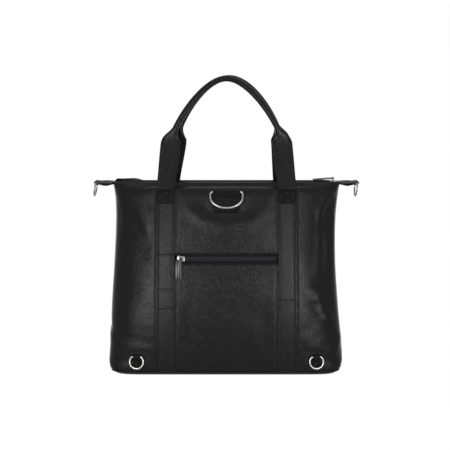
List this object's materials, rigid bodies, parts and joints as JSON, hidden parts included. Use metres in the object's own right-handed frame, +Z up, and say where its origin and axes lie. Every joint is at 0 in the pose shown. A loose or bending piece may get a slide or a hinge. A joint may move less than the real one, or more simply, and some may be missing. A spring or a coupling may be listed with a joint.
{
  "type": "tote diaper bag",
  "caption": "Zip-top tote diaper bag of black faux leather with rolled handles, a zip pocket and D-rings for a shoulder or backpack strap.",
  "frame": {"origin": "middle of the flat underside, on the floor", "axes": "+Z up, -Y out of the face with the zip pocket and the strap rings, X along the bag"},
  "size_m": [0.4585, 0.1589, 0.5081],
  "materials": {
    "leather": "soft pebble grain, satin",
    "lining_cloth": "plain woven",
    "base_board": "matte sheet",
    "handle_core": "twisted cord",
    "zip_tape": "woven polyester",
    "zip_teeth": "moulded",
    "nickel": "polished nickel plate"
  },
  "bodies": {
    "bag": {"back_lower_panel": "leather", "back_upper_panel": "leather", "back_left_side_panel": "leather", "back_right_side_panel": "leather", "front_panel": "leather", "front_left_side_panel": "leather", "front_right_side_panel": "leather", "base_panel": "leather", "back_left_strip": "leather", "back_right_strip": "leather", "front_left_strip": "leather", "front_right_strip": "leather", "back_left_handle_anchor": "leather", "back_right_handle_anchor": "leather", "front_left_handle_anchor": "leather", "front_right_handle_anchor": "leather", "back_top_facing": "leather", "front_top_facing": "leather", "left_end_tab": "leather", "right_end_tab": "leather", "top_ring_tab": "leather", "lower_left_ring_tab": "leather", "lower_right_ring_tab": "leather", "lining": "lining_cloth", "pocket_pouch": "lining_cloth", "base_board": "base_board", "main_zip_front_tape": "zip_tape", "main_zip_back_tape": "zip_tape", "pocket_zip_upper_tape": "zip_tape", "pocket_zip_lower_tape": "zip_tape", "main_zip_front_teeth": "zip_teeth", "main_zip_back_teeth": "zip_teeth", "pocket_zip_upper_teeth": "zip_teeth", "pocket_zip_lower_teeth": "zip_teeth"},
    "back_handle": {"back_handle": "leather", "back_handle_core": "handle_core"},
    "front_handle": {"front_handle": "leather", "front_handle_core": "handle_core"},
    "main_zip_slider": {"main_zip_slider": "nickel"},
    "main_zip_pull": {"main_zip_pull": "nickel"},
    "pocket_zip_slider": {"pocket_zip_slider": "nickel"},
    "pocket_zip_pull": {"pocket_zip_pull": "nickel"},
    "top_ring": {"top_ring": "nickel"},
    "lower_left_ring": {"lower_left_ring": "nickel"},
    "lower_right_ring": {"lower_right_ring": "nickel"},
    "left_end_ring": {"left_end_ring": "nickel"},
    "right_end_ring": {"right_end_ring": "nickel"}
  },
  "joints": [
    {"name": "back_handle_fold", "type": "hinge", "parent": "bag", "child": "back_handle", "pos_m": [0, -0.04116, 0.31809], "axis": [1, 0, 0], "range_deg": [-5, 150]},
    {"name": "front_handle_fold", "type": "hinge", "parent": "bag", "child": "front_handle", "pos_m": [0, 0.0414, 0.3181], "axis": [-1, 0, 0], "range_deg": [-5, 165]},
    {"name": "main_zip_run", "type": "slide", "parent": "bag", "child": "main_zip_slider", "axis": [-1, 0, 0], "range_m": [0, 0.368]},
    {"name": "main_pull_swing", "type": "hinge", "parent": "main_zip_slider", "child": "main_zip_pull", "pos_m": [0.184, 0, 0.3321], "axis": [0, 1, 0], "range_deg": [0, 150]},
    {"name": "pocket_zip_run", "type": "slide", "parent": "bag", "child": "pocket_zip_slider", "axis": [1, 0, 0], "range_m": [0, 0.154]},
    {"name": "pocket_pull_swing", "type": "hinge", "parent": "pocket_zip_slider", "child": "pocket_zip_pull", "pos_m": [-0.077, -0.05808, 0.20175], "axis": [-1, 0, 0], "range_deg": [0, 150]},
    {"name": "top_ring_swing", "type": "hinge", "parent": "bag", "child": "top_ring", "pos_m": [0, -0.04144, 0.31378], "axis": [-1, 0, 0], "range_deg": [0, 160]},
    {"name": "lower_left_ring_swing", "type": "hinge", "parent": "bag", "child": "lower_left_ring", "pos_m": [-0.1533, -0.0762, 0.0348], "axis": [-0.997, 0.0773, 0], "range_deg": [0, 150]},
    {"name": "lower_right_ring_swing", "type": "hinge", "parent": "bag", "child": "lower_right_ring", "pos_m": [0.1533, -0.0762, 0.0348], "axis": [-0.997, -0.0773, 0], "range_deg": [0, 150]},
    {"name": "left_end_ring_swing", "type": "hinge", "parent": "bag", "child": "left_end_ring", "pos_m": [-0.225, 0, 0.325], "axis": [0, 1, 0], "range_deg": [-65, 140]},
    {"name": "right_end_ring_swing", "type": "hinge", "parent": "bag", "child": "right_end_ring", "pos_m": [0.225, 0, 0.325], "axis": [0, -1, 0], "range_deg": [-55, 150]}
  ]
}
